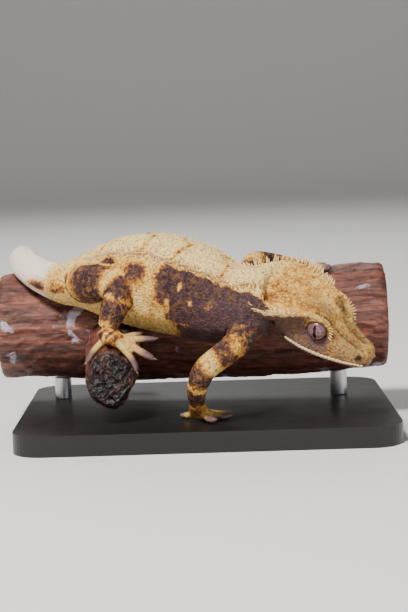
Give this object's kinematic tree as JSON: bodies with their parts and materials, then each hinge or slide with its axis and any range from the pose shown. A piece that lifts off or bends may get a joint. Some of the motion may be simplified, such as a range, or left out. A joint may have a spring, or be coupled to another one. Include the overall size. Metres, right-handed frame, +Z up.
{
  "type": "crested gecko model",
  "caption": "Life-size still model of a crested gecko climbing head first off a short length of driftwood, held on a flat display base by short rods.",
  "frame": {"origin": "centre of the flat underside of the display base", "axes": "+Z up from the base, +X towards the gecko's nose along the log, -Y towards the side the picture looks at, where its right side is"},
  "size_m": [0.118, 0.088, 0.0591],
  "materials": {
    "skin": "granular soft skin, cream to tan",
    "flank_skin": "granular soft skin, dark purple-brown with cream patches",
    "tail_skin": "smooth creamy skin",
    "toe_skin": "padded mauve-grey skin",
    "eye": "wet, glossy, mauve-pink iris and black slit pupil",
    "driftwood": "weathered red-brown wood",
    "base_board": "plain dark satin board",
    "rod": "plain satin steel"
  },
  "bodies": {
    "root": {"head": "skin", "neck": "skin", "torso": "flank_skin", "tail_base": "tail_skin", "tail_middle": "tail_skin", "tail_tip": "tail_skin", "leg_fore_right_upper": "flank_skin", "leg_fore_right_lower": "flank_skin", "foot_fore_right": "toe_skin", "leg_fore_left_upper": "flank_skin", "leg_fore_left_lower": "flank_skin", "foot_fore_left": "toe_skin", "leg_hind_right_upper": "flank_skin", "leg_hind_right_lower": "flank_skin", "foot_hind_right": "toe_skin", "leg_hind_left_upper": "flank_skin", "leg_hind_left_lower": "flank_skin", "foot_hind_left": "toe_skin", "eye_right": "eye", "eye_left": "eye", "perch_log": "driftwood", "perch_stub": "driftwood", "stand_base": "base_board", "stand_rod_1": "rod", "stand_rod_2": "rod"}
  },
  "joints": []
}
